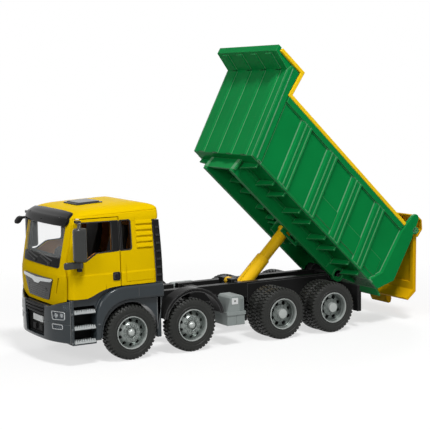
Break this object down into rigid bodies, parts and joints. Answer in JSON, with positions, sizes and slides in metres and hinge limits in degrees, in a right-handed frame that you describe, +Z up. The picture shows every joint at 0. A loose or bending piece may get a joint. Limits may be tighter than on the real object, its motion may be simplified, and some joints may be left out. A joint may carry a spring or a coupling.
{
  "type": "toy dump truck",
  "caption": "Toy tipper lorry with a cab-over cab, opening doors, folding mirrors, rolling wheelsets, a rear-tipping tub on a hydraulic cylinder and a top-hung tailgate.",
  "frame": {"origin": "on the ground, under the middle of the truck's length and width as pictured with the tub raised", "axes": "+Z up, the truck faces -X, its left side is -Y"},
  "size_m": [0.5418, 0.1862, 0.3751],
  "materials": {
    "yellow": "gloss moulded",
    "green": "gloss moulded",
    "slate": "semi-gloss moulded",
    "black": "satin moulded",
    "dark": "satin moulded",
    "tyre": "matt soft plastic",
    "silver": "silver moulded",
    "steel": "bright drawn",
    "clear": "clear polished",
    "white": "satin"
  },
  "bodies": {
    "chassis": {"chassis_frame": "black", "tub_hinge_shaft": "steel", "cylinder_pin": "steel", "rear_guard": "black", "cab_shell": "yellow", "windscreen": "clear", "wiper_panel": "black", "sun_visor": "black", "grille_panel": "dark", "grille_trim": "silver", "roof_hatch": "dark", "cab_rear_panel": "black", "cab_interior": "dark", "seat_left": "dark", "seat_right": "dark", "steering_wheel": "black", "front_mirror": "black", "front_bumper": "slate", "number_plate": "white", "headlamp_left": "clear", "headlamp_right": "clear", "fender_left": "slate", "fender_right": "slate", "mudguard_left": "black", "mudguard_right": "black", "battery_box": "silver", "side_tank": "silver"},
    "left_door": {"door_left": "yellow", "door_handle_left": "black"},
    "right_door": {"door_right": "yellow", "door_handle_right": "black"},
    "left_mirror": {"mirror_left": "dark"},
    "right_mirror": {"mirror_right": "dark"},
    "tub": {"tub_shell": "green", "tub_subframe": "green", "rim_strip_left": "yellow", "rim_strip_right": "yellow"},
    "tailgate_body": {"tailgate": "yellow"},
    "barrel": {"cylinder_barrel": "yellow"},
    "ram": {"cylinder_rod": "yellow"},
    "wheels_1": {"axle_1": "steel", "rim_1_left": "silver", "rim_1_right": "silver", "tyre_1_left": "tyre", "tyre_1_right": "tyre"},
    "wheels_2": {"axle_2": "steel", "rim_2_left": "silver", "rim_2_right": "silver", "tyre_2_left": "tyre", "tyre_2_right": "tyre"},
    "wheels_3": {"axle_3": "steel", "rim_3_left": "silver", "rim_3_right": "silver", "tyre_3_left": "tyre", "tyre_3_right": "tyre"},
    "wheels_4": {"axle_4": "steel", "rim_4_left": "silver", "rim_4_right": "silver", "tyre_4_left": "tyre", "tyre_4_right": "tyre"}
  },
  "joints": [
    {"name": "tub_tip", "type": "hinge", "parent": "chassis", "child": "tub", "pos_m": [0.15256, 0, 0.0684], "axis": [0, 1, 0], "range_deg": [-43.9, 0]},
    {"name": "tailgate_swing", "type": "hinge", "parent": "tub", "child": "tailgate_body", "pos_m": [0.25438, 0, 0.1246], "axis": [0, 1, 0], "range_deg": [-50, 29.3]},
    {"name": "barrel_pivot", "type": "hinge", "parent": "chassis", "child": "barrel", "pos_m": [0.00316, 0, 0.0695], "axis": [0, 1, 0], "range_deg": [0, 27]},
    {"name": "ram_slide", "type": "slide", "parent": "barrel", "child": "ram", "axis": [0.7133, 0, 0.7009], "range_m": [-0.0448, 0]},
    {"name": "left_door_hinge", "type": "hinge", "parent": "chassis", "child": "left_door", "pos_m": [-0.25524, -0.0745, 0.125], "axis": [0, 0, 1], "range_deg": [-60, 0]},
    {"name": "right_door_hinge", "type": "hinge", "parent": "chassis", "child": "right_door", "pos_m": [-0.25524, 0.0745, 0.125], "axis": [0, 0, 1], "range_deg": [0, 60]},
    {"name": "left_mirror_fold", "type": "hinge", "parent": "left_door", "child": "left_mirror", "pos_m": [-0.24444, -0.0797, 0.143], "axis": [0, 0, 1], "range_deg": [0, 75]},
    {"name": "right_mirror_fold", "type": "hinge", "parent": "right_door", "child": "right_mirror", "pos_m": [-0.24444, 0.0797, 0.143], "axis": [0, 0, 1], "range_deg": [0, 75]},
    {"name": "wheels_1_roll", "type": "hinge", "parent": "chassis", "child": "wheels_1", "pos_m": [-0.17744, 0, 0.03321], "axis": [0, 1, 0], "continuous": true},
    {"name": "wheels_2_roll", "type": "hinge", "parent": "chassis", "child": "wheels_2", "pos_m": [-0.09484, 0, 0.03321], "axis": [0, 1, 0], "continuous": true},
    {"name": "wheels_3_roll", "type": "hinge", "parent": "chassis", "child": "wheels_3", "pos_m": [0.03756, 0, 0.03321], "axis": [0, 1, 0], "continuous": true},
    {"name": "wheels_4_roll", "type": "hinge", "parent": "chassis", "child": "wheels_4", "pos_m": [0.11606, 0, 0.03321], "axis": [0, 1, 0], "continuous": true}
  ],
  "couplings": [
    {"joint": "barrel_pivot", "follows": "tub_tip", "ratio": -0.60888},
    {"joint": "ram_slide", "follows": "tub_tip", "m_per_rad": 0.058178}
  ]
}
